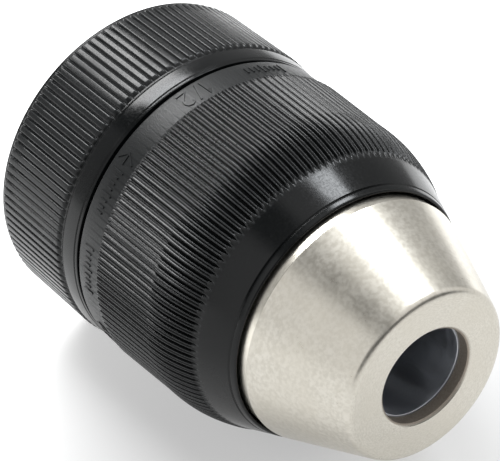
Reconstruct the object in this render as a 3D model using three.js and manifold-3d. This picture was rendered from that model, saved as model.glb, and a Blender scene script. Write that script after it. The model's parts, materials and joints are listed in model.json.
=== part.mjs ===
// Keyless drill chuck with two sleeves, 13 mm capacity, with its jaws fully open.
// Millimetres, +Z up. Each piece is modelled round its own Z axis, with the chuck's spindle seat at
// z = 0 and its mouth up. The assembly is then laid on its side, resting on its sleeves, with the
// mouth towards +X and one jaw straight down. Its origin is under its middle, on the surface.

import * as THREE from 'three';
import { mergeVertices } from 'three/addons/utils/BufferGeometryUtils.js';
import Module from 'manifold-3d';

const wasm = await Module();
wasm.setup();

// ---------------------------------------------------------------- driving dimensions

const LENGTH = 59.5;              // spindle seat to nose face
const GAP = 0.3;                  // between pieces that touch
const TURN = 2 * Math.PI;
const FINE = 40;                  // sides of the large turned pieces
const MEDIUM = 16;                // sides of the jaws and their bores
const SMALL = 8;                  // sides of the ball pockets and eyes

// the cone that the nose and the front sleeve share
const CONE_FACE_RADIUS = 11.6;    // where the cone would meet the nose face
const CONE_SLOPE = 0.39;          // radius gained per millimetre towards the rear
const NOSE_EDGE_RADIUS = 1.2;     // rounding between nose face and cone
const NOSE_BASE = LENGTH - 13.1;  // rear end of the cone
const NOSE_BAND_RADIUS = 16.6;
const NOSE_REAR = 42.2;
const NOSE_WALL = 2.1;
const MOUTH_RADIUS = 6.5;
const MOUTH_DEPTH = 1.5;

// jaws, and the three inclined bores that they slide in
const JAW_ANGLE = THREE.MathUtils.degToRad(17);
const JAW_RADIUS = 4.1;
const JAW_AZIMUTHS = [0, 120, 240];
const JAW_LENGTH = 29;
const JAW_CLOSED_TIP = 62.5;      // height of the tips with the chuck closed
const GRIP_CLOSED = 0.75;         // half of the smallest shank
const GRIP_OPEN = MOUTH_RADIUS;   // half of the largest shank
const GRIP_APEX = 0.55;           // where a jaw's two side faces would meet, chuck closed
const BORE_RADIUS = JAW_RADIUS + GAP;

// thread between the jaws and the split nut
const PITCH = 2.5;
const RIDGE_HEIGHT = 0.75;        // of the nut's thread, above the jaw's outermost line
const RIDGE_CREST = 0.6;          // width of the nut's thread at its crest
const RIDGE_FLARE = 0.3;          // half width gained per millimetre towards its root
const GROOVE_EXTRA = 0.35;        // room round the nut's thread in a jaw's groove

// body
const BODY_FACE = LENGTH - MOUTH_DEPTH - 0.35;
const BODY_BORE = 6.3;
const BODY_FRONT_RADIUS = 13.9;
const BODY_CORE_RADIUS = 10.7;
const TAIL_RADIUS = 10.2;
const FLANGE_RADIUS = 19.1;
const FLANGE_REAR = 21.3;
const FLANGE_FRONT = 27;
const BORE_FLOOR = 24;
const SOCKET_DEPTH = 15.5;
const SOCKET_RADIUS = 5.75;       // minor radius of the 1/2-20 spindle thread
const SOCKET_RELIEF_RADIUS = 6.6;
const SCREW_HOLE_RADIUS = 3.4;

// thrust bearing and nut, stacked on the flange
const RACE_THICKNESS = 0.8;
const RACE_INNER = 15.55;
const BALL_RADIUS = 1.15;
const BALL_COUNT = 12;
const BALL_RING_RADIUS = 17.2;
const CAGE_INNER = 15.15;
const CAGE_OUTER = 19.2;
const CAGE_THICKNESS = 0.8;
const NUT_HEIGHT = 5.8;
const NUT_RADIUS = 16.1;
const BAND_INNER = 16.45;
const BAND_OUTER = 18;
const DRIVE_LUGS = 6;
const LUG_WIDTH = 2.4;
const LUG_DEPTH = 1.5;

// front sleeve
const FRONT_SLEEVE_REAR = 17.5;
const FRONT_SLEEVE_FRONT = 45;
const FRONT_BAND_RADIUS = 21.02;  // plain band behind the grip
const GRIP_REAR = 21.7;
const GRIP_REAR_RADIUS = 21.3;
const GRIP_FRONT_RADIUS = 21;
const OGIVE_RADIUS = 21;          // rounding between grip and cone
const LIP_INNER = 16.95;

// rear sleeve
const REAR_SLEEVE_REAR = 0.4;
const REAR_RADIUS = 21.5;
const REAR_GRIP_FRONT = 13.7;
const COLLAR_REAR_RADIUS = 21.37;
const COLLAR_FRONT_RADIUS = 20.95;
const COLLAR_FRONT = 17;
const REAR_BORE = 19.4;           // clears the rear ends of the open jaws
const WEB_REAR = 3.6;
const WEB_FRONT = 6.8;

// ---------------------------------------------------------------- derived dimensions

const slope = Math.tan(JAW_ANGLE);
const travel = (GRIP_OPEN - GRIP_CLOSED) / slope;      // along the chuck's axis
const raceRearZ = FLANGE_FRONT + GAP;
const ballZ = raceRearZ + RACE_THICKNESS + GAP + BALL_RADIUS;
const raceFrontZ = ballZ + BALL_RADIUS + GAP;
const nutRear = raceFrontZ + RACE_THICKNESS + GAP;
const nutFront = nutRear + NUT_HEIGHT;
const nutMiddle = (nutRear + nutFront) / 2;

// distance from the chuck's axis to a jaw's own axis, at a height
function jawAxisRadius(z) {
  const radiusAtBodyFace = BODY_BORE - BORE_RADIUS / Math.cos(JAW_ANGLE) - 0.05;
  return radiusAtBodyFace + (BODY_FACE - z) * slope;
}

// how far out a jaw reaches, at a height
function jawReach(z) {
  return jawAxisRadius(z) + JAW_RADIUS / Math.cos(JAW_ANGLE);
}

function coneRadius(z) {
  return CONE_FACE_RADIUS + CONE_SLOPE * (LENGTH - z);
}

// ---------------------------------------------------------------- solids

function solidOf(geometry) {
  geometry.deleteAttribute('normal');
  geometry.deleteAttribute('uv');
  const merged = mergeVertices(geometry, 1e-5);
  const corners = merged.index.array;
  const kept = [];
  for (let i = 0; i < corners.length; i += 3) {
    const [a, b, c] = corners.slice(i, i + 3);
    if (a !== b && b !== c && c !== a) kept.push(a, b, c);
  }
  const mesh = new wasm.Mesh({
    numProp: 3,
    vertProperties: new Float32Array(merged.attributes.position.array),
    triVerts: new Uint32Array(kept),
  });
  return new wasm.Manifold(mesh);
}

function geometryOf(solid) {
  const mesh = solid.getMesh();
  const geometry = new THREE.BufferGeometry();
  geometry.setAttribute('position', new THREE.BufferAttribute(mesh.vertProperties, 3));
  geometry.setIndex(new THREE.BufferAttribute(mesh.triVerts, 1));
  geometry.computeVertexNormals();
  return geometry;
}

// a turned ring from a closed outline of [radius, z] points, listed up its outer side first; flats,
// not corners, face along X and Y
function turned(outline, sides = FINE) {
  const points = outline.map(([radius, z]) => new THREE.Vector2(radius, z));
  points.push(points[0].clone());
  const geometry = new THREE.LatheGeometry(points, sides, Math.PI / sides);
  geometry.rotateX(Math.PI / 2);
  return solidOf(geometry);
}

function ring(inner, outer, bottom, top, sides = FINE) {
  return turned([[outer, bottom], [outer, top], [inner, top], [inner, bottom]], sides);
}

function rod(radius, bottom, top, x, y, sides = SMALL) {
  const geometry = new THREE.CylinderGeometry(radius, radius, top - bottom, sides);
  geometry.rotateX(Math.PI / 2);
  geometry.translate(x, y, (bottom + top) / 2);
  return solidOf(geometry);
}

// points of an arc in an outline; angles are from the outward direction towards +Z
function arc(centreRadius, centreZ, radius, from, to, steps) {
  const points = [];
  for (let i = 0; i <= steps; i += 1) {
    const angle = from + (to - from) * i / steps;
    points.push([centreRadius + radius * Math.cos(angle), centreZ + radius * Math.sin(angle)]);
  }
  return points;
}

function block(sizeX, sizeY, sizeZ, x, y, z) {
  const geometry = new THREE.BoxGeometry(sizeX, sizeY, sizeZ);
  geometry.translate(x, y, z);
  return solidOf(geometry);
}

// a round bar along a jaw's own axis, in the plane of azimuth 0, between two heights
function inclinedBar(radius, bottom, top) {
  const middle = (bottom + top) / 2;
  const geometry = new THREE.CylinderGeometry(radius, radius, (top - bottom) / Math.cos(JAW_ANGLE), MEDIUM);
  geometry.rotateX(Math.PI / 2);
  geometry.rotateY(-JAW_ANGLE);
  geometry.translate(jawAxisRadius(middle), 0, middle);
  return solidOf(geometry);
}

// ---------------------------------------------------------------- pieces on the body

function chuckBody() {
  let body = turned([
    [TAIL_RADIUS - 0.4, 0],
    [TAIL_RADIUS, 0.4],
    [TAIL_RADIUS, 0.9],
    [TAIL_RADIUS - 0.7, 0.9],
    [TAIL_RADIUS - 0.7, 2.3],
    [TAIL_RADIUS, 2.3],
    [TAIL_RADIUS, FLANGE_REAR],
    [FLANGE_RADIUS, FLANGE_REAR],
    [FLANGE_RADIUS, FLANGE_FRONT],
    [BODY_CORE_RADIUS, FLANGE_FRONT],
    [BODY_CORE_RADIUS, nutFront + GAP],
    [BODY_FRONT_RADIUS, nutFront + GAP],
    [BODY_FRONT_RADIUS, NOSE_BASE + 0.2],
    [coneRadius(BODY_FACE) - NOSE_WALL - 0.9, BODY_FACE],
    [BODY_BORE + 0.15, BODY_FACE],
    [BODY_BORE, BODY_FACE - 0.15],
    [BODY_BORE, BORE_FLOOR],
    [SCREW_HOLE_RADIUS, BORE_FLOOR - 1],
    [SCREW_HOLE_RADIUS, SOCKET_DEPTH],
    [SOCKET_RADIUS, SOCKET_DEPTH],
    [SOCKET_RADIUS, 1.2],
    [SOCKET_RELIEF_RADIUS, 1.2],
    [SOCKET_RELIEF_RADIUS, 0],
  ]);
  const bore = inclinedBar(BORE_RADIUS, 5, LENGTH + 5);
  for (const azimuth of JAW_AZIMUTHS) {
    body = body.subtract(bore.rotate([0, 0, azimuth]));
  }
  return body;
}

function nosePiece() {
  const coneAngle = Math.atan(CONE_SLOPE);
  const edgeTop = LENGTH - NOSE_EDGE_RADIUS;
  const onCone = coneRadius(edgeTop + NOSE_EDGE_RADIUS * Math.sin(coneAngle));
  const edgeCentre = onCone - NOSE_EDGE_RADIUS * Math.cos(coneAngle);
  return turned([
    [BODY_FRONT_RADIUS + 0.35, NOSE_REAR],
    [NOSE_BAND_RADIUS, NOSE_REAR],
    [NOSE_BAND_RADIUS, NOSE_BASE],
    [coneRadius(NOSE_BASE), NOSE_BASE + 0.1],
    ...arc(edgeCentre, edgeTop, NOSE_EDGE_RADIUS, coneAngle, Math.PI / 2, 4),
    [MOUTH_RADIUS + 0.25, LENGTH],
    [MOUTH_RADIUS, LENGTH - 0.2],
    [MOUTH_RADIUS, LENGTH - MOUTH_DEPTH],
    [coneRadius(LENGTH - MOUTH_DEPTH) - NOSE_WALL - 0.2, LENGTH - MOUTH_DEPTH],
    [BODY_FRONT_RADIUS + 0.35, NOSE_BASE + 0.5],
  ]);
}

function rearSleeve() {
  return turned([
    [REAR_BORE - 0.2, REAR_SLEEVE_REAR],
    ...arc(REAR_RADIUS - 0.4, REAR_SLEEVE_REAR + 0.4, 0.4, -Math.PI / 2, 0, 2),
    [REAR_RADIUS, REAR_GRIP_FRONT],
    [COLLAR_REAR_RADIUS, REAR_GRIP_FRONT + 0.2],
    [COLLAR_REAR_RADIUS, REAR_GRIP_FRONT + 0.9],
    [COLLAR_FRONT_RADIUS, COLLAR_FRONT],
    [REAR_BORE + 0.55, COLLAR_FRONT],
    [REAR_BORE + 0.55, COLLAR_FRONT + 2.4],
    [REAR_BORE, COLLAR_FRONT + 2.4],
    [REAR_BORE, WEB_FRONT],
    [TAIL_RADIUS + 2.4, WEB_FRONT],
    [TAIL_RADIUS + 2.4, WEB_FRONT + 2.2],
    [TAIL_RADIUS + GAP, WEB_FRONT + 2.2],
    [TAIL_RADIUS + GAP, WEB_REAR],
    [REAR_BORE - 0.2, WEB_REAR],
  ]);
}

function rearWasher() {
  return ring(TAIL_RADIUS + 0.4, REAR_BORE - 0.5, WEB_REAR - 1.3, WEB_REAR - GAP);
}

// an external spring ring: an open ring with an eye at each end for the pliers
function retainingRing() {
  const inner = TAIL_RADIUS - 0.4;
  const outer = inner + 1.7;
  const halfOpening = THREE.MathUtils.degToRad(12);
  const thickness = 0.8;
  const shape = new THREE.Shape();
  shape.absarc(0, 0, outer, halfOpening, TURN - halfOpening, false);
  shape.absarc(0, 0, inner, TURN - halfOpening, halfOpening, true);
  const options = { depth: thickness, bevelEnabled: false, curveSegments: 16 };
  let open = solidOf(new THREE.ExtrudeGeometry(shape, options));
  for (const side of [-1, 1]) {
    const angle = side * (halfOpening + 0.09);
    const eyeX = (outer - 0.3) * Math.cos(angle);
    const eyeY = (outer - 0.3) * Math.sin(angle);
    open = open.add(rod(1.45, 0, thickness, eyeX, eyeY));
    open = open.subtract(rod(0.55, -1, thickness + 1, eyeX, eyeY));
  }
  return open.translate([0, 0, 1.2]);
}

// ---------------------------------------------------------------- thrust bearing

function bearingRace(bottom) {
  return ring(RACE_INNER, FLANGE_RADIUS, bottom, bottom + RACE_THICKNESS);
}

function ballCage() {
  let cage = ring(CAGE_INNER, CAGE_OUTER, ballZ - CAGE_THICKNESS / 2, ballZ + CAGE_THICKNESS / 2);
  const pocketRadius = BALL_RADIUS + GAP;
  const pocket = rod(pocketRadius, ballZ - 2, ballZ + 2, BALL_RING_RADIUS, 0);
  for (let i = 0; i < BALL_COUNT; i += 1) {
    cage = cage.subtract(pocket.rotate([0, 0, i * 360 / BALL_COUNT]));
  }
  return cage;
}

function bearingBall() {
  return solidOf(new THREE.SphereGeometry(BALL_RADIUS, 10, 7));
}

// ---------------------------------------------------------------- nut and front sleeve

// the nut's thread: a long box bent into a helix that follows the cone of the jaws' outer lines
function nutThread() {
  const turns = NUT_HEIGHT / PITCH + 1;
  const steps = Math.round(turns * 24);
  const rootHeight = GAP + 0.4;
  const geometry = new THREE.BoxGeometry(1, 1, 1, steps, 1, 1);
  const position = geometry.attributes.position;
  for (let i = 0; i < position.count; i += 1) {
    const along = position.getX(i) * turns;
    const atRoot = position.getY(i) < 0;
    const side = Math.sign(position.getZ(i));
    const height = nutMiddle + along * PITCH;
    const inward = atRoot ? -rootHeight : RIDGE_HEIGHT;
    const halfWidth = RIDGE_CREST / 2 + (RIDGE_HEIGHT - inward) * RIDGE_FLARE;
    const radius = jawReach(height) - inward;
    const angle = along * TURN;
    const z = height + side * halfWidth;
    position.setXYZ(i, radius * Math.cos(angle), radius * Math.sin(angle), z);
  }
  return solidOf(geometry);
}

function splitNut() {
  const shell = turned([
    [NUT_RADIUS, nutRear],
    [NUT_RADIUS, nutFront],
    [jawReach(nutFront) + GAP, nutFront],
    [jawReach(nutRear) + GAP, nutRear],
  ]);
  const envelope = ring(BODY_CORE_RADIUS, NUT_RADIUS - 0.5, nutRear, nutFront);
  const nut = shell.add(nutThread().intersect(envelope));
  const size = 2 * NUT_RADIUS + 2;
  const front = block(size, size, size, size / 2 + GAP / 2, 0, nutMiddle);
  const back = block(size, size, size, -size / 2 - GAP / 2, 0, nutMiddle);
  return [nut.intersect(front), nut.intersect(back)];
}

function driveLugs(width, inner, outer, bottom, top) {
  const lugs = [];
  for (let i = 0; i < DRIVE_LUGS; i += 1) {
    const lug = block(outer - inner, width, top - bottom, (inner + outer) / 2, 0, (bottom + top) / 2);
    lugs.push(lug.rotate([0, 0, (i + 0.5) * 360 / DRIVE_LUGS]));
  }
  return lugs;
}

function nutBand() {
  let band = ring(BAND_INNER, BAND_OUTER, nutRear, nutFront);
  const slotBottom = nutFront - LUG_DEPTH - GAP;
  for (const slot of driveLugs(LUG_WIDTH + 2 * GAP, BAND_INNER - 1, BAND_OUTER + 1, slotBottom, nutFront + 1)) {
    band = band.subtract(slot);
  }
  return band;
}

function frontSleeve() {
  const coneAngle = Math.atan(CONE_SLOPE);
  const ogiveRadius = GRIP_FRONT_RADIUS - OGIVE_RADIUS;
  const ogiveEnd = ogiveRadius + OGIVE_RADIUS * Math.cos(coneAngle);
  const ogiveZ = LENGTH - OGIVE_RADIUS * Math.sin(coneAngle) - (ogiveEnd - CONE_FACE_RADIUS) / CONE_SLOPE;
  const shoulder = nutFront + GAP;
  const bandBore = BAND_OUTER + 0.35;
  let sleeve = turned([
    [FRONT_BAND_RADIUS - 0.7, FRONT_SLEEVE_REAR],
    ...arc(FRONT_BAND_RADIUS - 0.4, FRONT_SLEEVE_REAR + 0.4, 0.4, -Math.PI / 2, 0, 2),
    [FRONT_BAND_RADIUS, GRIP_REAR - 0.1],
    [GRIP_REAR_RADIUS, GRIP_REAR],
    ...arc(ogiveRadius, ogiveZ, OGIVE_RADIUS, 0, coneAngle, 6),
    [coneRadius(FRONT_SLEEVE_FRONT), FRONT_SLEEVE_FRONT],
    [LIP_INNER, FRONT_SLEEVE_FRONT],
    [LIP_INNER, NOSE_REAR - GAP],
    [LIP_INNER + 0.45, NOSE_REAR - GAP],
    [LIP_INNER + 0.45, shoulder],
    [bandBore, shoulder],
    [bandBore, nutRear - GAP],
    [FLANGE_RADIUS + 0.4, nutRear - GAP],
    [FLANGE_RADIUS + 0.4, COLLAR_FRONT + 2.7],
    [FRONT_BAND_RADIUS - 0.7, COLLAR_FRONT + 2.7],
  ]);
  for (const lug of driveLugs(LUG_WIDTH, BAND_INNER + 0.2, bandBore + 0.3, nutFront - LUG_DEPTH, shoulder + 0.5)) {
    sleeve = sleeve.add(lug);
  }
  return sleeve;
}

// ---------------------------------------------------------------- jaws

// one jaw, in the plane of azimuth 0 and in its closed place
function jaw(azimuth) {
  const rear = JAW_CLOSED_TIP - JAW_LENGTH;
  const bar = inclinedBar(JAW_RADIUS, rear - 4, JAW_CLOSED_TIP + 4);

  // the space that one jaw of three may fill: a flat grip face between two faces 120 degrees apart
  const flank = Math.tan(Math.PI / 3);
  const reach = 30;
  const shape = new THREE.Shape();
  shape.moveTo(GRIP_CLOSED, -(GRIP_CLOSED - GRIP_APEX) * flank);
  shape.lineTo(reach, -(reach - GRIP_APEX) * flank);
  shape.lineTo(reach, (reach - GRIP_APEX) * flank);
  shape.lineTo(GRIP_CLOSED, (GRIP_CLOSED - GRIP_APEX) * flank);
  const sector = new THREE.ExtrudeGeometry(shape, { depth: JAW_LENGTH, bevelEnabled: false });
  sector.translate(0, 0, rear);
  let solid = bar.intersect(solidOf(sector));

  // rack teeth: grooves round the chuck's axis, each one cut for the place where it meets the nut
  const bottomRadius = jawReach(nutMiddle) - RIDGE_HEIGHT - GROOVE_EXTRA;
  const bottomWidth = RIDGE_CREST / 2 + GROOVE_EXTRA;
  const depth = 2.2;
  const outerWidth = bottomWidth + depth * RIDGE_FLARE;
  const phase = nutMiddle + azimuth / 360 * PITCH + travel;
  const firstNumber = Math.ceil((rear - outerWidth - phase) / PITCH);
  const lastNumber = Math.floor((nutFront + travel + outerWidth - phase) / PITCH);
  for (let number = firstNumber; number <= lastNumber; number += 1) {
    const z = phase + number * PITCH;
    const groove = turned([
      [bottomRadius, z - bottomWidth],
      [bottomRadius + depth, z - outerWidth],
      [bottomRadius + depth, z + outerWidth],
      [bottomRadius, z + bottomWidth],
    ], FINE);
    const shift = jawAxisRadius(z) - jawAxisRadius(nutMiddle);
    solid = solid.subtract(groove.translate([shift, 0, 0]));
  }
  return solid;
}

// ---------------------------------------------------------------- assembly

const finishes = {
  nickel: { color: 0xc9c2b4, roughness: 0.35, metalness: 1 },
  steel: { color: 0x6f6f72, roughness: 0.45, metalness: 1 },
  hardened: { color: 0x3c3b3a, roughness: 0.5, metalness: 1 },
  bright: { color: 0xb8b8ba, roughness: 0.2, metalness: 1 },
  plastic: { color: 0x1d1e20, roughness: 0.5, metalness: 0 },
  nylon: { color: 0xd8d2c0, roughness: 0.6, metalness: 0 },
};

function part(name, solid, finish) {
  const mesh = new THREE.Mesh(geometryOf(solid), new THREE.MeshStandardMaterial(finishes[finish]));
  mesh.name = name;
  return mesh;
}

const chuck = new THREE.Group();

const hub = new THREE.Group();
hub.add(part('chuck_body', chuckBody(), 'steel'));
hub.add(part('nose_piece', nosePiece(), 'nickel'));
hub.add(part('rear_sleeve', rearSleeve(), 'plastic'));
hub.add(part('rear_washer', rearWasher(), 'bright'));
hub.add(part('retaining_ring', retainingRing(), 'hardened'));
hub.add(part('bearing_race_rear', bearingRace(raceRearZ), 'bright'));
chuck.add(hub);

const turning = new THREE.Group();
const [nutHalfA, nutHalfB] = splitNut();
turning.add(part('front_sleeve', frontSleeve(), 'plastic'));
turning.add(part('nut_band', nutBand(), 'steel'));
turning.add(part('nut_half_a', nutHalfA, 'hardened'));
turning.add(part('nut_half_b', nutHalfB, 'hardened'));
turning.add(part('bearing_race_front', bearingRace(raceFrontZ), 'bright'));
chuck.add(turning);

const bearing = new THREE.Group();
bearing.add(part('ball_cage', ballCage(), 'nylon'));
for (let i = 0; i < BALL_COUNT; i += 1) {
  const angle = i * TURN / BALL_COUNT;
  const ball = part(`bearing_ball_${String(i + 1).padStart(2, '0')}`, bearingBall(), 'bright');
  ball.position.set(BALL_RING_RADIUS * Math.cos(angle), BALL_RING_RADIUS * Math.sin(angle), ballZ);
  bearing.add(ball);
}
chuck.add(bearing);

JAW_AZIMUTHS.forEach((azimuth, index) => {
  const plane = new THREE.Group();
  plane.rotation.z = THREE.MathUtils.degToRad(azimuth);
  const mesh = part(`jaw_${index + 1}`, jaw(azimuth), 'hardened');
  mesh.position.set(travel * slope, 0, -travel);
  plane.add(mesh);
  chuck.add(plane);
});

// laid on its side, on a flat of the rear sleeve
chuck.rotation.y = Math.PI / 2;
chuck.position.set(-LENGTH / 2, 0, REAR_RADIUS * Math.cos(Math.PI / FINE));

export default chuck;
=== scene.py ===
"""Looks of a keyless drill chuck that lies on its side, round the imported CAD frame.

Lengths inside the helpers are millimetres on the chuck's own axis: z runs from the spindle seat (0) to
the nose face (59.5), and azimuth 0 is straight down. lay() turns them into the frame's metres.
"""

import json
import math

import bmesh
import bpy
import numpy as np
from mathutils import Matrix, Vector


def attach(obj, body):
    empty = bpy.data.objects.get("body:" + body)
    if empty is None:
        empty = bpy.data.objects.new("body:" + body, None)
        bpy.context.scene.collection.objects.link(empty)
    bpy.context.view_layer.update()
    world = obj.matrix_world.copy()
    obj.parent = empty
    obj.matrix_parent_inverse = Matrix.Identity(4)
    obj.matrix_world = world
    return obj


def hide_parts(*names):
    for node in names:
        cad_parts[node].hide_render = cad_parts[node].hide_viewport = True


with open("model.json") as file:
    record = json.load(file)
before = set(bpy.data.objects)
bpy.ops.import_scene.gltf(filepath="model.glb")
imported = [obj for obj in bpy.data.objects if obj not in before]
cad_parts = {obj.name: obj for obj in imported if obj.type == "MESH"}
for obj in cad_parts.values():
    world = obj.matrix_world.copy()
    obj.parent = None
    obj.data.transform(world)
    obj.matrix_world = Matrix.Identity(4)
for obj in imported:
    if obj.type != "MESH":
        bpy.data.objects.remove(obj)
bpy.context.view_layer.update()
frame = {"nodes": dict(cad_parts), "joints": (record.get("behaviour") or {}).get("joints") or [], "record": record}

# ---------------------------------------------------------------- dimensions shared with the CAD

MM = 0.001
TURN = 2 * math.pi
LENGTH = 59.5
AXIS_HEIGHT = next(j for j in frame["joints"] if j["name"] == "sleeve_turn")["pos_m"][2] / MM

CONE_FACE_RADIUS = 11.6
CONE_SLOPE = 0.39
MOUTH_RADIUS = 6.5

JAW_AZIMUTHS = (0, 120, 240)
JAW_ANGLE = math.radians(17)
JAW_SLOPE = math.tan(JAW_ANGLE)
JAW_RADIUS = 4.1
JAW_LENGTH = 29
JAW_CLOSED_TIP = 62.5
GRIP_CLOSED = 0.75
GRIP_OPEN = 6.5
GRIP_APEX = 0.55
BORE_RADIUS = 4.4
TRAVEL = (GRIP_OPEN - GRIP_CLOSED) / JAW_SLOPE
RACK_DEPTH = 0.75
RACK_FLAT = 0.3                     # half the width of a thread crest that runs in the rack
RACK_FLANK = 0.3                    # widening of a rack groove for each millimetre of radius
RACK_CLEARANCE = 0.35

PITCH = 2.5
NUT_MIDDLE = 35.0
NUT_FRONT = 37.9
BODY_FACE = 57.65
BODY_BORE = 6.3
BORE_PAINTED_LIGHT = (36.0, 44.0)          # z over which painted light brightens the bore towards the mouth
TAIL_RADIUS = 10.2
SOCKET_RADIUS = 5.75
SOCKET_DEPTH = 15.5
SOCKET_PITCH = 1.27
SOCKET_THREAD_DEPTH = 0.6

REAR_RADIUS = 21.5
FLOOR_HEIGHT = AXIS_HEIGHT - REAR_RADIUS
REAR_RIBS = 120
REAR_GRIP = (1.1, 13.7)
COLLAR = (14.15, 17.1)
BAND = (17.2, 21.75)
FRONT_RIBS = 126
FRONT_GRIP = (21.7, 40.1)
POLISHED_FROM = (39.9, 40.5)        # z over which the front sleeve turns from satin to polished
BAND_RADIUS = 21.02
OGIVE_RADIUS = 21.0
REAR_FOOT = REAR_RADIUS - 0.38      # ledge that the rear ribs stand on
REAR_DEPTH = 0.32                   # depth of the grooves
FRONT_DEPTH = 0.45
PROUD = 0.14                        # how far the front ribs stand over the smooth front


def cone_radius(z):
    """Radius of the nose cone, which the front sleeve's front end carries on."""
    return CONE_FACE_RADIUS + CONE_SLOPE * (LENGTH - z)


def jaw_axis_radius(z):
    """How far a jaw's axis is from the chuck's own at a height. The outer edge of the jaw's bore comes
    out just inside the body's bore at the body's face."""
    return BODY_BORE - BORE_RADIUS / math.cos(JAW_ANGLE) - 0.05 + (BODY_FACE - z) * JAW_SLOPE


# ---------------------------------------------------------------- mesh helpers

SHARP_DEGREES = 38


def lay(x, y, z):
    """Metres in the frame, from millimetres on the chuck's own axes, arrays or numbers."""
    return (z - LENGTH / 2) * MM, y * MM, (AXIS_HEIGHT - x) * MM


LAY = Matrix(((0, 0, MM, -LENGTH / 2 * MM), (0, MM, 0, 0), (-MM, 0, 0, AXIS_HEIGHT * MM), (0, 0, 0, 1)))


def piece_of(name, mesh):
    """An object with a mesh, put in the scene."""
    piece = bpy.data.objects.new(name, mesh)
    bpy.context.scene.collection.objects.link(piece)
    return piece


def grid_mesh(name, rows, closed_rows=True):
    """A mesh from an array of rows of points, rows x around x 3, closed both ways."""
    count, around = rows.shape[:2]
    mesh = bpy.data.meshes.new(name)
    index = np.arange(count * around).reshape(count, around)
    after = np.roll(index, -1, axis=0)
    quads = np.stack([index, np.roll(index, -1, axis=1), np.roll(after, -1, axis=1), after], axis=-1)
    if not closed_rows:
        quads = quads[:-1]
    mesh.from_pydata(rows.reshape(-1, 3).tolist(), [], quads.reshape(-1, 4).tolist())
    return mesh


def rounded(outline, steps=4):
    """Outline points from corners of (radius, z, rounding), each corner a short curve."""
    points = []
    corners = [Vector(corner[:2]) for corner in outline]
    for i, corner in enumerate(outline):
        here, before, after = corners[i], corners[i - 1], corners[(i + 1) % len(corners)]
        if not corner[2]:
            points.append(tuple(here))
            continue
        inward, outward = before - here, after - here
        reach = corner[2] / math.tan(inward.angle(outward) / 2)
        start = here + inward.normalized() * min(reach, 0.48 * inward.length)
        end = here + outward.normalized() * min(reach, 0.48 * outward.length)
        for k in range(steps + 1):
            t = k / steps
            points.append(tuple(start * (1 - t) ** 2 + here * 2 * t * (1 - t) + end * t * t))
    return points


def stations(start, end, count):
    """Outline corners spaced evenly between two points, both left out."""
    spots = np.linspace(start, end, count + 2)[1:-1]
    return [(float(radius), float(z), 0) for radius, z in spots]


def turned(name, outline, angles, shape=None):
    """A turned piece from a closed outline, up its outer side first. angles is a count or a list.
    shape(radius, z, angle) may change the radius, and gives the wear, dust and painted highlight that the material
    shows there."""
    if isinstance(angles, int):
        angles = np.arange(angles) * TURN / angles
    radius, z = (np.array(column)[:, None] for column in zip(*outline))
    angle = np.asarray(angles)[None, :]
    radius, z = np.broadcast_arrays(radius, z, angle)[:2]
    wear_dust_and_sheen = None
    if shape:
        radius, wear_dust_and_sheen = shape(radius, z, np.broadcast_to(angle, z.shape))
    spots = np.stack(lay(radius * np.cos(angle), radius * np.sin(angle), z), axis=-1)
    mesh = grid_mesh(name, spots)
    if wear_dust_and_sheen is not None:
        mesh.attributes.new("wear_dust_and_sheen", "FLOAT", "POINT").data.foreach_set("value", wear_dust_and_sheen.ravel())
    return piece_of(name, mesh)


def prism(name, outline, bottom, top):
    """A straight prism along the chuck's axis from x, y corners listed anticlockwise."""
    count = len(outline)
    spots = [lay(x, y, bottom) for x, y in outline] + [lay(x, y, top) for x, y in outline]
    sides = [(i, (i + 1) % count, count + (i + 1) % count, count + i) for i in range(count)]
    ends = [tuple(range(count))[::-1], tuple(range(count, 2 * count))]
    mesh = bpy.data.meshes.new(name)
    mesh.from_pydata(spots, [], sides + ends)
    return piece_of(name, mesh)


def inclined(name, profile, azimuth, sides=64):
    """A turned bar along a jaw's own axis. profile is (radius, z) points up its side, z as the height
    where the axis passes."""
    spots = []
    for radius, z in profile:
        ring = []
        for k in range(sides):
            angle = k * TURN / sides
            across, sideways = radius * math.cos(angle), radius * math.sin(angle)
            x = jaw_axis_radius(z) + across * math.cos(JAW_ANGLE)
            spot = Vector((x, sideways, z + across * math.sin(JAW_ANGLE)))
            ring.append(tuple(LAY @ (Matrix.Rotation(math.radians(azimuth), 3, "Z") @ spot)))
        spots.append(ring)
    rows = np.array(spots)
    mesh = grid_mesh(name, rows, closed_rows=False)
    piece = piece_of(name, mesh)
    shape = bmesh.new()
    shape.from_mesh(mesh)
    bmesh.ops.holes_fill(shape, edges=[edge for edge in shape.edges if edge.is_boundary])
    bmesh.ops.recalc_face_normals(shape, faces=shape.faces)
    shape.to_mesh(mesh)
    shape.free()
    return piece


def combine(piece, tool, operation="DIFFERENCE"):
    """Cuts, joins or intersects a piece with a tool, and removes the tool."""
    modifier = piece.modifiers.new("combine", "BOOLEAN")
    modifier.operation = operation
    modifier.solver = "EXACT"
    modifier.object = tool
    graph = bpy.context.evaluated_depsgraph_get()
    result = bpy.data.meshes.new_from_object(piece.evaluated_get(graph))
    piece.modifiers.clear()
    piece.data = result
    bpy.data.objects.remove(tool)


def smooth(piece):
    """Rounded shading, with edges over SHARP_DEGREES kept crisp and large faces kept flat."""
    mesh = piece.data
    mesh.polygons.foreach_set("use_smooth", [True] * len(mesh.polygons))
    mesh.set_sharp_from_angle(angle=math.radians(SHARP_DEGREES))
    weighted = piece.modifiers.new("flat faces stay flat", "WEIGHTED_NORMAL")
    weighted.keep_sharp = True


def settle(piece, body, slot, *nodes):
    """Gives a piece its shading, its slot's material and its body, and says what it stands for."""
    smooth(piece)
    piece.data.materials.clear()
    piece.data.materials.append(FINISHES[slot])
    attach(piece, body)
    if nodes:
        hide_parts(*nodes)


# ---------------------------------------------------------------- materials

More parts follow.
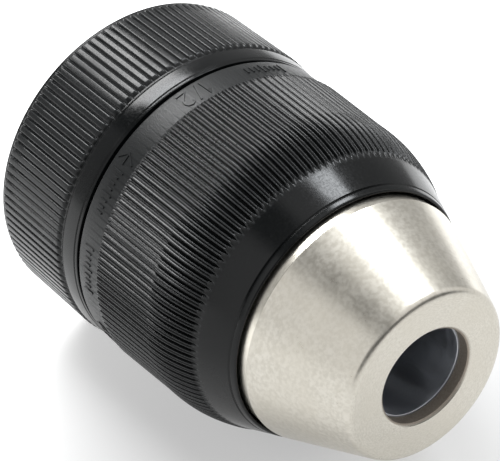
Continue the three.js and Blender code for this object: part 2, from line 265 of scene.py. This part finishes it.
class Nodes:
    """Short ways to add nodes to a tree."""

    def __init__(self, tree):
        self.tree = tree

    def node(self, kind, inputs=None, **settings):
        node = self.tree.nodes.new(kind)
        for name, value in settings.items():
            setattr(node, name, value)
        for key, value in (inputs or {}).items():
            if isinstance(value, bpy.types.NodeSocket):
                self.tree.links.new(value, node.inputs[key])
            else:
                node.inputs[key].default_value = value
        return node

    def math(self, operation, *values):
        return self.node("ShaderNodeMath", dict(enumerate(values)), operation=operation).outputs[0]

    def remap(self, value, low, high, to_low=0.0, to_high=1.0):
        inputs = {"Value": value, "From Min": low, "From Max": high, "To Min": to_low, "To Max": to_high}
        return self.node("ShaderNodeMapRange", inputs, interpolation_type="SMOOTHSTEP").outputs[0]


class Finish(Nodes):
    """A node material. Texture lengths are millimetres."""

    def __init__(self, name, **sockets):
        self.material = bpy.data.materials.new(name)
        self.material.use_nodes = True
        super().__init__(self.material.node_tree)
        self.shader = self.tree.nodes["Principled BSDF"]
        for socket, value in sockets.items():
            self.shader.inputs[socket.replace("_", " ")].default_value = value
        spot = self.node("ShaderNodeTexCoord").outputs["Object"]
        scaled = self.node("ShaderNodeVectorMath", {0: spot, 1: (1 / MM,) * 3}, operation="MULTIPLY")
        self.spot = scaled.outputs[0]
        parts = self.node("ShaderNodeSeparateXYZ", {0: self.spot}).outputs
        self.x, self.y = parts[0], parts[1]
        self.z = self.math("SUBTRACT", parts[2], AXIS_HEIGHT)
        y_square = self.math("MULTIPLY", self.y, self.y)
        z_square = self.math("MULTIPLY", self.z, self.z)
        self.radius = self.math("SQRT", self.math("ADD", y_square, z_square))
        self.height = self.math("ADD", self.x, LENGTH / 2)      # z on the chuck's own axis

    def between(self, value, low, high, soft=0.15):
        rise = self.remap(value, low - soft, low + soft)
        fall = self.remap(value, high - soft, high + soft, 1.0, 0.0)
        return self.math("MULTIPLY", rise, fall)

    def turned_space(self, lines, around):
        """Across the turning marks in the first coordinate, slowly round the axis in the others."""
        across = self.math("ADD", self.height, self.math("MULTIPLY", self.radius, 1.37))
        safe = self.math("MAXIMUM", self.radius, 0.1)
        y_part = self.math("MULTIPLY", self.math("DIVIDE", self.y, safe), around)
        z_part = self.math("MULTIPLY", self.math("DIVIDE", self.z, safe), around)
        joined = {0: self.math("MULTIPLY", across, lines), 1: y_part, 2: z_part}
        return self.node("ShaderNodeCombineXYZ", joined).outputs[0]

    def noise(self, scale, detail=3.0, rough=0.5, space=None):
        inputs = {"Vector": space or self.spot, "Scale": scale, "Detail": detail, "Roughness": rough}
        return self.node("ShaderNodeTexNoise", inputs).outputs["Fac"]

    def blend(self, factor, low, high):
        inputs = {"Factor": factor, 6: low, 7: high}
        return self.node("ShaderNodeMix", inputs, data_type="RGBA").outputs[2]

    def bump(self, height, depth_mm, strength=1.0, normal=None):
        inputs = {"Height": height, "Distance": depth_mm * MM, "Strength": strength}
        if normal:
            inputs["Normal"] = normal
        return self.node("ShaderNodeBump", inputs).outputs[0]

    def set(self, **sockets):
        for socket, value in sockets.items():
            self.tree.links.new(value, self.shader.inputs[socket.replace("_", " ")])
        return self.material


def colour(red, green, blue):
    return (red, green, blue, 1)


def nickel():
    """Satin nickel plate over a turned cone, with painted shade on the mouth: its recessed wall is coloured darker
    and browner.
    """
    finish = Finish("satin_nickel", Metallic=1.0)
    marks = finish.noise(1.0, 2.0, 0.5, finish.turned_space(5.0, 26.0))
    broad = finish.noise(1.0, 2.0, 0.5, finish.turned_space(0.9, 1.4))
    grain = finish.noise(3.7, 1.0, 0.5)
    cloud = finish.noise(0.16, 3.0, 0.6)
    mouth = finish.remap(finish.radius, MOUTH_RADIUS + 0.12, MOUTH_RADIUS + 0.28, 1.0, 0.0)
    dull, bright = colour(0.595, 0.565, 0.495), colour(0.715, 0.685, 0.615)
    plated = finish.blend(finish.remap(marks, 0.3, 0.7), dull, bright)
    plated = finish.blend(finish.remap(cloud, 0.3, 0.7, 0.0, 0.5), plated, colour(0.64, 0.605, 0.525))
    # painted shade: the recessed mouth wall gets a darker, browner colour than the plate
    mouth_painted_shade = finish.blend(marks, colour(0.3, 0.26, 0.22), colour(0.55, 0.49, 0.42))
    fine_shine = finish.remap(marks, 0.25, 0.75, 0.285, 0.33)
    shine = finish.math("ADD", fine_shine, finish.remap(broad, 0.3, 0.7, -0.015, 0.02))
    ground = finish.bump(grain, 0.002, 0.1)
    return finish.set(
        Base_Color=finish.blend(mouth, plated, mouth_painted_shade),
        Roughness=finish.math("ADD", shine, finish.math("MULTIPLY", mouth, 0.3)),
        Normal=finish.bump(marks, 0.0015, 0.1, ground),
    )


def plastic():
    """Black glass-filled plastic: polished collar and front, satin grips, and a plain band with a coarser,
    spark-eroded grain. The mesh's wear attribute lightens rubbed crests and dusty grooves; along the rib edges
    this lighter colour is also a painted highlight."""
    finish = Finish("black_plastic", Specular_IOR_Level=0.3)
    grain = finish.noise(4.5, 3.0, 0.55)
    fine = finish.noise(3.7, 1.0, 0.5)
    cloud = finish.noise(0.12, 3.0, 0.6)
    band = finish.between(finish.height, *BAND)
    collar = finish.between(finish.height, *COLLAR)
    glossy = finish.math("MAXIMUM", collar, finish.remap(finish.height, *POLISHED_FROM))
    handled = finish.remap(cloud, 0.35, 0.7, -0.03, 0.05)
    satin = finish.math("ADD", finish.remap(fine, 0.3, 0.7, 0.24, 0.32), handled)
    polish = finish.math("SUBTRACT", satin, finish.math("MULTIPLY", glossy, 0.08))
    rough = finish.math("ADD", polish, finish.math("MULTIPLY", band, 0.12))
    deep, black = colour(0.0014, 0.0019, 0.0021), colour(0.003, 0.0037, 0.004)
    tint = finish.blend(finish.remap(grain, 0.3, 0.7), deep, black)
    specks = finish.math("MULTIPLY", finish.remap(fine, 0.62, 0.8), 0.3)
    dust = finish.math("MAXIMUM", specks, finish.math("MULTIPLY", band, 0.45))
    tint = finish.blend(dust, tint, colour(0.015, 0.0165, 0.017))
    # the wear attribute lightens the colour: rubbed and dusty places, and a painted highlight along the rib edges
    wear_sheen_mask = finish.node("ShaderNodeAttribute", attribute_name="wear_dust_and_sheen").outputs["Fac"]
    patchy = finish.remap(finish.noise(0.8, 3.0, 0.6), 0.2, 0.6, 0.5, 1.0)
    tint = finish.blend(finish.math("MULTIPLY", wear_sheen_mask, patchy), tint, colour(0.02, 0.0215, 0.0225))
    sparked = finish.math("MULTIPLY", grain, band)
    return finish.set(
        Base_Color=tint,
        Roughness=rough,
        Normal=finish.bump(sparked, 0.05, 0.6, finish.bump(fine, 0.0015, 0.15)),
    )


def turned_metal(name, dark, light, shine, lines=6.0, depth=0.01, bore=None):
    """Metal off the lathe. shine is its lowest and highest roughness, lines its turning marks in a
    millimetre, and bore the colour of painted light that brightens the bore behind the mouth."""
    finish = Finish(name, Metallic=1.0)
    marks = finish.noise(1.0, 5.0, 0.65, finish.turned_space(lines, 1.6))
    cloud = finish.noise(0.25, 3.0, 0.6)
    grain = finish.noise(5.0, 3.0, 0.6)
    base = finish.blend(finish.remap(marks, 0.3, 0.7), colour(*dark), colour(*light))
    stains_and_painted_light = finish.blend(finish.remap(cloud, 0.45, 0.75, 0.0, 0.45), base, colour(*dark))
    if bore:
        # painted light: the bore turns lighter and bluer towards the mouth, where light comes in
        stains_and_painted_light = finish.blend(finish.remap(finish.height, *BORE_PAINTED_LIGHT), stains_and_painted_light, colour(*bore))
    rough = finish.remap(marks, 0.3, 0.7, *shine)
    return finish.set(
        Base_Color=stains_and_painted_light,
        Roughness=finish.math("ADD", rough, finish.remap(cloud, 0.3, 0.7, 0.0, 0.08)),
        Normal=finish.bump(marks, depth, 0.6, finish.bump(grain, 0.004, 0.4)),
    )


def ground_metal(name, dark, light, shine):
    """Hardened and ground metal with a fine grain along the chuck. shine is its lowest and highest
    roughness."""
    finish = Finish(name, Metallic=1.0)
    stretch = {0: finish.spot, 1: (0.7, 7.0, 7.0)}
    stretched = finish.node("ShaderNodeVectorMath", stretch, operation="MULTIPLY").outputs[0]
    scratches = finish.noise(1.0, 4.0, 0.6, stretched)
    cloud = finish.noise(0.3, 3.0, 0.6)
    base = finish.blend(finish.remap(scratches, 0.3, 0.7), colour(*dark), colour(*light))
    return finish.set(
        Base_Color=finish.blend(finish.remap(cloud, 0.4, 0.75, 0.0, 0.5), base, colour(*dark)),
        Roughness=finish.remap(scratches, 0.3, 0.7, *shine),
        Normal=finish.bump(scratches, 0.006, 0.5),
    )


def nylon():
    """Natural nylon of the ball cage."""
    finish = Finish("cage_nylon", Subsurface_Weight=0.15, Subsurface_Scale=0.001)
    grain = finish.noise(4.0, 3.0, 0.6)
    tint = finish.blend(finish.remap(grain, 0.3, 0.7), colour(0.62, 0.58, 0.47), colour(0.72, 0.68, 0.58))
    return finish.set(
        Base_Color=tint,
        Roughness=finish.remap(grain, 0.3, 0.7, 0.45, 0.6),
        Normal=finish.bump(grain, 0.01, 0.5),
    )


TURNED = {
    "body_steel": dict(
        dark=(0.3, 0.305, 0.315), light=(0.5, 0.505, 0.515), shine=(0.34, 0.5), lines=3.0, depth=0.012,
        # painted light: the lighter, bluer colour of the bore towards the mouth
        bore=(0.7, 0.73, 0.78),
    ),
    "zinc_plate": dict(
        dark=(0.34, 0.345, 0.35), light=(0.5, 0.505, 0.505), shine=(0.26, 0.42), lines=3.0, depth=0.006,
    ),
    "nut_steel": dict(dark=(0.12, 0.12, 0.125), light=(0.24, 0.24, 0.245), shine=(0.3, 0.45)),
}
GROUND = {
    "spring_steel": dict(dark=(0.05, 0.048, 0.046), light=(0.13, 0.125, 0.12), shine=(0.3, 0.45)),
    "hardened_steel": dict(dark=(0.3, 0.3, 0.31), light=(0.48, 0.48, 0.49), shine=(0.2, 0.34)),
    "jaw_steel": dict(dark=(0.14, 0.142, 0.15), light=(0.27, 0.272, 0.28), shine=(0.24, 0.4)),
    "ball_steel": dict(dark=(0.5, 0.5, 0.51), light=(0.6, 0.6, 0.61), shine=(0.08, 0.14)),
}
FINISHES = {"nickel": nickel(), "sleeve_plastic": plastic(), "cage_nylon": nylon()}
for slot, look in TURNED.items():
    FINISHES[slot] = turned_metal(slot, **look)
for slot, look in GROUND.items():
    FINISHES[slot] = ground_metal(slot, **look)

# ---------------------------------------------------------------- ribbed sleeves

# half of a pitch in section, from the middle of a groove to the middle of a rib: the place in pitches, how
# deep it is as a share of the full depth, and how light wear, dust and painted highlight make it. A rear rib has a
# flat top with well-rounded edges; a front rib has two fine ridges with a valley between them.
REAR_SECTION = (
    (0.0, 1.0, 1), (0.03, 0.95, 1), (0.124, 0.463, 0.3), (0.142, 0.312, 0.1), (0.17, 0.183, 0.2),
    (0.207, 0.084, 0.8), (0.25, 0.021, 1), (0.296, 0.0, 0.5), (0.5, 0.0, 0.2),
)
FRONT_SECTION = (
    (0.0, 1.0, 0), (0.05, 0.95, 0), (0.202, 0.234, 0), (0.213, 0.158, 0), (0.239, 0.074, 0.4),
    (0.273, 0.019, 1), (0.3125, 0.0, 1), (0.345, 0.016, 1), (0.374, 0.062, 0.4), (0.5, 0.42, 0),
)


def rib_angles(ribs, section):
    """Angles that fall on the corners of every rib."""
    places = [corner[0] for corner in section]
    steps = [-place for place in places[:0:-1]] + places[:-1]
    return np.add.outer(np.arange(ribs), np.array(steps)).ravel() * TURN / ribs


def grooves(ribs, section, floor, start, end, run_out=0):
    """A shape for turned(): grooves between ribs, down to floor(z), from start to end. A groove ends
    square at its start, and at its end in a pointed run-out of that length, or square too without one."""
    places, depths, wear_dust_and_sheen = zip(*section)
    ridge = places[depths.index(0.0)]

    def shape(radius, z, angle):
        turns = angle * ribs / TURN
        off = np.abs(turns - np.round(turns))
        into = np.clip((z - (end - run_out)) / run_out, 0, 1) if run_out else np.zeros_like(z)
        off = np.minimum(off + into * ridge, 0.5)
        share = np.interp(off, places, depths) * np.where(off > ridge, (1 - into) ** 2, 1)
        outer_side = np.gradient(z, axis=0) > 0
        inside = (z > start) & (z < end + 1e-6) & outer_side
        cut = np.clip(radius - floor(z), 0, None) * share
        return radius - np.where(inside, cut, 0), np.where(inside, np.interp(off, places, wear_dust_and_sheen), 0)
    return shape


def rear_sleeve():
    """Rim at the rear, ribs, polished collar, and inside a web that carries it on the body."""
    rear, front = REAR_GRIP
    rim, recess, skirt, hub = 21.3, 19.2, 19.4, 10.5        # radii
    web_rear, web_front, gap_face = 3.6, 6.8, COLLAR[1]     # heights
    outline = [
        (recess, 0.4, 0.15),
        (rim, 0.4, 0.3),
        (rim, 0.9, 0.05),
        (REAR_RADIUS - 0.15, rear, 0),
        (REAR_RADIUS, rear + 0.15, 0),
        *stations((REAR_RADIUS, rear + 0.15), (REAR_RADIUS, front - 0.5), 4),
        (REAR_RADIUS, front - 0.5, 0),
        (REAR_RADIUS - 0.05, front - 0.3, 0),
        (REAR_RADIUS - 0.16, front - 0.12, 0),
        (REAR_FOOT, front + 0.08, 0),
        (REAR_FOOT, front + 0.3, 0.05),
        (21.2, front + 0.4, 0.04),
        (21.24, front + 0.5, 0.04),
        (21.17, front + 0.6, 0.02),
        (21.29, front + 0.72, 0.05),
        (21.06, 16.42, 0.04),
        (20.94, 16.56, 0.03),
        (21.0, 16.68, 0.03),
        (20.94, gap_face - 0.1, 0.08),
        (20.5, gap_face, 0.05),
        (19.95, gap_face, 0.05),
        (19.95, 19.4, 0.15),
        (skirt, 19.4, 0.1),
        (skirt, web_front, 0.4),
        (hub + 2.1, web_front, 0.3),
        (hub + 2.1, 9.0, 0.2),
        (hub, 9.0, 0.15),
        (hub, web_rear, 0.15),
        (recess, web_rear, 0.35),
    ]

    def floor(z):
        return np.full_like(z, REAR_RADIUS - REAR_DEPTH)

    shape = grooves(REAR_RIBS, REAR_SECTION, floor, rear, front)
    return turned("rear_sleeve_ribbed", rounded(outline), rib_angles(REAR_RIBS, REAR_SECTION), shape)


def front_sleeve():
    """Plain band, ribs that curve in over an ogive, and a polished front with a lip round the nose."""
    rear, front = FRONT_GRIP
    tilt = math.atan(CONE_SLOPE)
    end_radius = OGIVE_RADIUS * math.cos(tilt)
    centre = LENGTH - OGIVE_RADIUS * math.sin(tilt) - (end_radius - CONE_FACE_RADIUS) / CONE_SLOPE
    ogive_front = centre + OGIVE_RADIUS * math.sin(tilt)

    # crests stand a little proud of the smooth ogive, and slope down onto it at their front ends
    def plain(z):
        curve = np.sqrt(OGIVE_RADIUS ** 2 - np.clip(z - centre, 0, 19) ** 2)
        straight = 0.3 * np.clip(centre - z, 0, None) / (centre - rear)
        return np.where(z < ogive_front, curve, cone_radius(z)) + straight

    def proud(z):
        return PROUD * np.interp(z, (centre, centre + 4, front - 1.0, front - 0.25), (0, 1, 1, 0))

    def crest(z):
        return float(plain(z) + proud(z))

    def floor(z):
        return plain(z) + PROUD - FRONT_DEPTH

    ends = np.linspace(front - 1.2, front + 0.15, 10)
    middle = np.linspace(rear + 0.9, ends[0] - 0.6, 22)
    grip = [(crest(z), float(z), 0) for z in (rear + 0.12, *middle, *ends)]
    band_edge, lip, front_face = 17.6, 44.0, 45.0           # heights
    outline = [
        (20.3, band_edge, 0.1),
        (BAND_RADIUS, band_edge, 0.2),
        (BAND_RADIUS, rear - 0.02, 0),
        (crest(rear) - 0.08, rear + 0.02, 0),
        *grip,
        (cone_radius(lip), lip, 0.04),
        (cone_radius(lip + 0.16) - 0.16, lip + 0.16, 0.04),
        (cone_radius(lip + 0.3), lip + 0.32, 0.04),
        (cone_radius(front_face) + 0.02, front_face, 0.34),
        (16.95, front_face, 0.12),
        (16.95, 41.9, 0),
        (17.4, 41.9, 0),
        (17.4, 38.2, 0.1),
        (18.35, 38.2, 0.1),
        (18.35, 31.8, 0),
        (19.5, 31.8, 0.1),
        (19.5, 19.7, 0.1),
        (20.3, 19.7, 0.1),
    ]
    shape = grooves(FRONT_RIBS, FRONT_SECTION, floor, rear, front + 0.1, run_out=1.0)
    return turned("front_sleeve_ribbed", rounded(outline), rib_angles(FRONT_RIBS, FRONT_SECTION), shape)


# ---------------------------------------------------------------- marks on the plain band

MARK_HEIGHT = 0.13
STROKE = 0.3                        # width of a stroke at its foot
MARKS_MIDDLE = 19.5
ARROWS = (222, 52, 292)             # degrees round the chuck of each arrow's point
TICKS = ((229, 8), (155, 8), (258, 9), (60, 10), (300, 10), (10, 9))    # first tick's degrees, count
TICK_STEP = 2.2


def strokes(name, lines):
    """Raised strokes on the plain band. Each line is points of (degrees round the chuck, z)."""
    mesh = bpy.data.meshes.new(name)
    spots, faces = [], []
    # across, in strokes' widths, and height over the band
    section = ((-0.5, -0.03), (-0.36, MARK_HEIGHT), (0.36, MARK_HEIGHT), (0.5, -0.03))
    for line in lines:
        flat = [Vector((math.radians(turn) * BAND_RADIUS, z)) for turn, z in line]
        first = len(spots)
        for i, here in enumerate(flat):
            before = (here - flat[i - 1]).normalized() if i else Vector((0, 0))
            after = (flat[i + 1] - here).normalized() if i + 1 < len(flat) else Vector((0, 0))
            along = (before + after).normalized()
            side = Vector((-along.y, along.x))
            for across, up in section:
                spot = here + side * across * STROKE
                angle, radius = spot.x / BAND_RADIUS, BAND_RADIUS + up
                spots.append(lay(radius * math.cos(angle), radius * math.sin(angle), spot.y))
        for i in range(len(flat) - 1):
            a, b = first + 4 * i, first + 4 * i + 4
            faces += [(a + k, a + (k + 1) % 4, b + (k + 1) % 4, b + k) for k in range(4)]
        faces += [(first, first + 3, first + 2, first + 1)]
        last = first + 4 * (len(flat) - 1)
        faces += [(last, last + 1, last + 2, last + 3)]
    mesh.from_pydata(spots, [], faces)
    shape = bmesh.new()
    shape.from_mesh(mesh)
    bmesh.ops.recalc_face_normals(shape, faces=shape.faces)
    shape.to_mesh(mesh)
    shape.free()
    return piece_of(name, mesh)


def band_marks():
    """A size number, turning arrows and tick marks, in place of a maker's lettering."""
    lines = [
        [(186.8, 20.2), (188.0, 20.9), (188.0, 18.3)],                      # 1
        [(189.6, 18.1), (192.2, 21.1)],                                     # /
        [(194.0, 20.3), (194.5, 20.75), (195.6, 20.95), (196.9, 20.75), (197.5, 20.2), (197.1, 19.6),
         (195.4, 18.9), (194.1, 18.4), (197.8, 18.4)],                      # 2
    ]
    for start in ARROWS:
        lines.append([(start + 3, 18.1), (start, 19.4), (start + 3, 20.9)])
        lines.append([(start, 19.4), (start + 4.5, 19.4)])
    for start, count in TICKS:
        for tick in range(count):
            turn = start + TICK_STEP * tick
            reach = 0.9 if tick % 4 == 0 else 0.55
            lines.append([(turn, MARKS_MIDDLE - reach), (turn, MARKS_MIDDLE + reach)])
    return strokes("band_marks", lines)


# ---------------------------------------------------------------- nose, body, jaws and rear fittings

def nose_piece():
    """Thin cone with a skirt that goes in under the front sleeve."""
    skirt, bore, rear, base, inner_face = 16.6, 14.25, 42.2, 46.4, BODY_FACE + 0.08
    outline = [
        (bore, rear, 0.15),
        (skirt, rear, 0.25),
        (skirt, base - 0.1, 0.04),
        (skirt + 0.12, base, 0.07),
        (CONE_FACE_RADIUS, LENGTH, 1.2),
        (MOUTH_RADIUS + 0.35, LENGTH, 0.1),
        (MOUTH_RADIUS, LENGTH - 0.28, 0.1),
        (MOUTH_RADIUS, inner_face, 0.03),
        (9.88, inner_face, 0.2),
        (bore, base + 0.5, 0.2),
    ]
    return turned("nose_cone", rounded(outline, steps=6), angles=192)


def chuck_body():
    """Turned body with its threaded socket, its flange, and three inclined jaw bores."""
    thread_top, thread_bottom = SOCKET_DEPTH - 1.2, 1.2
    flange, waist, shoulder, pilot, counterbore = 19.1, 10.7, 13.9, 3.4, 6.6        # radii

    def thread(radius, z, angle):
        phase = (z / SOCKET_PITCH - angle / TURN) % 1
        cut = np.clip(1.15 - np.abs(phase - 0.5) * 3.1, 0, 1)
        fade = np.clip((z - thread_bottom) / 0.5, 0, 1) * np.clip((thread_top - z) / 1.2, 0, 1)
        on_wall = np.abs(radius - SOCKET_RADIUS) < 1e-4
        return radius + np.where(on_wall, SOCKET_THREAD_DEPTH * cut * fade, 0), np.zeros_like(radius)

    tail, groove = TAIL_RADIUS, TAIL_RADIUS - 0.7
    wall = [(SOCKET_RADIUS, float(z), 0) for z in np.arange(SOCKET_DEPTH, 1.25, -0.13)]
    outline = [
        (tail - 0.4, 0.0, 0.1),
        (tail, 0.4, 0.1),
        (tail, 0.9, 0.05),
        (groove, 0.9, 0.1),
        (groove, 2.3, 0.1),
        (tail, 2.3, 0.05),
        (tail, 21.3, 0.3),
        (flange, 21.3, 0.3),
        (flange, 27.0, 0.3),
        (waist, 27.0, 0.3),
        (waist, 38.2, 0.3),
        (shoulder, 38.2, 0.3),
        (shoulder, 46.6, 0.3),
        (cone_radius(BODY_FACE) - 3.0, BODY_FACE, 0.1),
        (BODY_BORE + 0.05, BODY_FACE, 0.02),
        (BODY_BORE, BODY_FACE - 0.05, 0.02),
        (BODY_BORE, 24.0, 0.2),
        (pilot, 23.0, 0.1),
        (pilot, SOCKET_DEPTH, 0.1),
        *wall,
        (SOCKET_RADIUS, thread_bottom, 0),
        (counterbore - 0.25, 1.1, 0.05),
        (counterbore, 0.8, 0.1),
        (counterbore, 0.0, 0.12),
    ]
    body = turned("body_turned", rounded(outline, steps=3), angles=96, shape=thread)
    for azimuth in JAW_AZIMUTHS:
        tool = inclined("bore", [(BORE_RADIUS, 5), (BORE_RADIUS, LENGTH + 5)], azimuth)
        combine(body, tool)
    return body


def jaw(index, azimuth):
    """One jaw in its open place, where the frame has it at rest."""
    rear, tip = JAW_CLOSED_TIP - JAW_LENGTH, JAW_CLOSED_TIP
    profile = [(JAW_RADIUS - 0.5, rear - 4), (JAW_RADIUS, rear - 3.5), (JAW_RADIUS, tip + 4)]
    bar = inclined(f"jaw_{index}_ground", profile, 0)
    flank, reach = math.sqrt(3), 30
    near = (GRIP_CLOSED - GRIP_APEX) * flank
    far = (reach - GRIP_APEX) * flank
    wedge = [(GRIP_CLOSED, -near), (reach, -far), (reach, far), (GRIP_CLOSED, near)]
    combine(bar, prism("sector", wedge, rear, tip), "INTERSECT")
    reach_at_nut = jaw_axis_radius(NUT_MIDDLE) + JAW_RADIUS / math.cos(JAW_ANGLE)
    cutter = 2.2
    floor = reach_at_nut - RACK_DEPTH - RACK_CLEARANCE
    ceiling = floor + cutter
    half = RACK_FLAT + RACK_CLEARANCE
    wide = half + cutter * RACK_FLANK
    phase = NUT_MIDDLE + azimuth / 360 * PITCH + TRAVEL
    first = math.ceil((rear - wide - phase) / PITCH)
    last = math.floor((NUT_FRONT + TRAVEL + wide - phase) / PITCH)
    for number in range(first, last + 1):
        z = phase + number * PITCH
        outline = [(floor, z - half), (ceiling, z - wide), (ceiling, z + wide), (floor, z + half)]
        groove = turned("groove", outline, angles=160)
        shift = (jaw_axis_radius(z) - jaw_axis_radius(NUT_MIDDLE)) * MM
        groove.data.transform(Matrix.Translation((0, 0, -shift)))
        combine(bar, groove)
    # from closed, in the plane of azimuth 0, to open, in its own plane
    slide = Matrix.Translation((TRAVEL * JAW_SLOPE, 0, -TRAVEL))
    own = Matrix.Rotation(math.radians(azimuth), 4, "Z")
    bar.data.transform(LAY @ own @ slide @ LAY.inverted())
    return bar


def rear_washer():
    """Flat washer that closes the rear recess."""
    outer, inner, rear, front, edge = 18.9, 10.6, 2.3, 3.3, 0.12
    outline = [(outer, rear, edge), (outer, front, edge), (inner, front, edge), (inner, rear, edge)]
    return turned("washer_plated", rounded(outline, steps=3), angles=128)


def retaining_ring():
    """A spring ring with an eye at each end for the pliers."""
    opening, inner, outer = math.radians(12), 9.8, 11.5
    bottom, top = 1.2, 2.0
    angles = np.linspace(opening, TURN - opening, 121)
    ring = [(outer * math.cos(a), outer * math.sin(a)) for a in angles]
    ring += [(inner * math.cos(a), inner * math.sin(a)) for a in angles[::-1]]
    piece = prism("circlip", ring, bottom, top)
    eye_radius, eye_turn = outer - 0.3, opening + 0.09
    eye = ((1.45, bottom, top, "UNION"), (0.55, bottom - 0.7, top + 0.7, "DIFFERENCE"))
    for side in (-1, 1):
        turn = side * eye_turn
        x, y = eye_radius * math.cos(turn), eye_radius * math.sin(turn)
        for radius, low, high, operation in eye:
            angles = np.arange(40) * TURN / 40
            circle = [(x + radius * math.cos(a), y + radius * math.sin(a)) for a in angles]
            combine(piece, prism("eye", circle, low, high), operation)
    edge = piece.modifiers.new("edge", "BEVEL")
    edge.width, edge.segments, edge.limit_method = 0.08 * MM, 2, "ANGLE"
    return piece


settle(nose_piece(), "hub", "nickel", "nose_piece")
settle(chuck_body(), "hub", "body_steel", "chuck_body")
settle(rear_sleeve(), "hub", "sleeve_plastic", "rear_sleeve")
settle(rear_washer(), "hub", "zinc_plate", "rear_washer")
settle(retaining_ring(), "hub", "spring_steel", "retaining_ring")
settle(front_sleeve(), "turning_sleeve", "sleeve_plastic", "front_sleeve")
settle(band_marks(), "turning_sleeve", "sleeve_plastic")
for number, azimuth in enumerate(JAW_AZIMUTHS, 1):
    settle(jaw(number, azimuth), f"jaw_{number}", "jaw_steel", f"jaw_{number}")

# CAD nodes that stay, with the finish of their own slot
for entry in frame["record"]["subparts"]:
    for place in frame["nodes"][entry["node"]].material_slots:
        place.material = FINISHES[entry["material_slot"]]

# ---------------------------------------------------------------- studio

FLOOR_REACH = 1.5
LIGHT_DISTANCE = 1.0
CAMERA_LENS = 182.96
CAMERA_PLACE = (0.201532, -0.154641, 0.211611)
CAMERA_TURN = (53.748, 0, 53.158)   # degrees


def studio_floor():
    """Pale paper that gives a little light of its own, and is whiter towards the chuck's rear."""
    finish = Finish("studio_floor", Roughness=0.9, Emission_Color=colour(1, 1, 1), Emission_Strength=0.45)
    pulp = finish.noise(0.02, 3.0, 0.6)
    pale = finish.blend(pulp, colour(0.38, 0.38, 0.379), colour(0.4, 0.4, 0.399))
    whiter = finish.remap(finish.x, -35.0, 5.0, 1.0, 0.0)
    material = finish.set(Base_Color=finish.blend(whiter, pale, colour(0.93, 0.93, 0.925)))
    corners = [(-1, -1), (1, -1), (1, 1), (-1, 1)]
    mesh = bpy.data.meshes.new("studio_floor")
    spots = [(x * FLOOR_REACH, y * FLOOR_REACH, FLOOR_HEIGHT * MM) for x, y in corners]
    mesh.from_pydata(spots, [], [(0, 1, 2, 3)])
    mesh.materials.append(material)
    return piece_of("studio_floor", mesh)


def softbox(name, direction, size, power, tint=(1, 1, 1)):
    """A rectangular light that faces the chuck's middle, from a direction given in the frame."""
    light = bpy.data.lights.new(name, "AREA")
    light.shape = "RECTANGLE"
    light.size, light.size_y = size
    light.energy = power
    light.color = tint
    lamp = bpy.data.objects.new(name, light)
    toward = Vector(direction).normalized()
    lamp.location = Vector((0, 0, AXIS_HEIGHT * MM)) + toward * LIGHT_DISTANCE
    lamp.rotation_euler = toward.to_track_quat("Z", "Y").to_euler()
    lamp.visible_camera = False
    bpy.context.scene.collection.objects.link(lamp)


def studio_world():
    """White panels all round, with the dimmer stretches that show as dark bands in polished metal."""
    world = bpy.data.worlds.new("studio")
    bpy.context.scene.world = world
    world.use_nodes = True
    sky = Nodes(world.node_tree)
    toward = sky.node("ShaderNodeTexCoord").outputs["Generated"]
    east, north, up = sky.node("ShaderNodeSeparateXYZ", {0: toward}).outputs
    across = sky.node("ShaderNodeVectorMath", {0: toward, 1: (0, 1, 1)}, operation="MULTIPLY").outputs[0]
    around = sky.node("ShaderNodeVectorMath", {0: across}, operation="NORMALIZE").outputs[0]
    slot_direction = {0: around, 1: (0, -0.4, 0.917)}
    slot = sky.node("ShaderNodeVectorMath", slot_direction, operation="DOT_PRODUCT").outputs["Value"]
    ahead = sky.remap(east, 0.42, 0.58, 1.0, 0.1)
    panels = (
        sky.remap(east, -0.1, 0.02, 0.55, 1.0),                 # dimmer behind the chuck
        sky.remap(north, 0.6, 0.95, 1.0, 0.85),                 # a little dimmer on its far side
        sky.remap(slot, 0.955, 0.99, 1.0, 0.25),                # slot between two panels overhead
        sky.math("MAXIMUM", ahead, sky.remap(up, 0.45, 0.6)),   # dark low down ahead of the mouth
    )
    brightness = 1.0
    for panel in panels:
        brightness = sky.math("MULTIPLY", brightness, panel)
    sky.tree.links.new(brightness, sky.tree.nodes["Background"].inputs["Color"])


def studio_camera():
    """A long lens from above, in front of the nose and to one side of it."""
    camera = bpy.data.objects.new("camera", bpy.data.cameras.new("camera"))
    camera.data.sensor_width = 36
    camera.data.lens = CAMERA_LENS
    camera.data.clip_start = 0.01
    camera.location = CAMERA_PLACE
    camera.rotation_euler = [math.radians(degrees) for degrees in CAMERA_TURN]
    bpy.context.scene.collection.objects.link(camera)
    return camera


floor = studio_floor()
softbox("key", (-0.05, 0.4, 0.915), size=(0.2, 0.28), power=3.2, tint=(0.93, 0.965, 1.0))
softbox("middle_key", (-0.475, 0.03, 0.88), size=(0.5, 0.17), power=4.5, tint=(0.96, 0.98, 1.0))
softbox("rear_key", (-0.66, -0.02, 0.75), size=(0.5, 0.26), power=5.7)
studio_world()
bpy.context.scene.camera = studio_camera()
bpy.context.scene.view_settings.view_transform = "Standard"
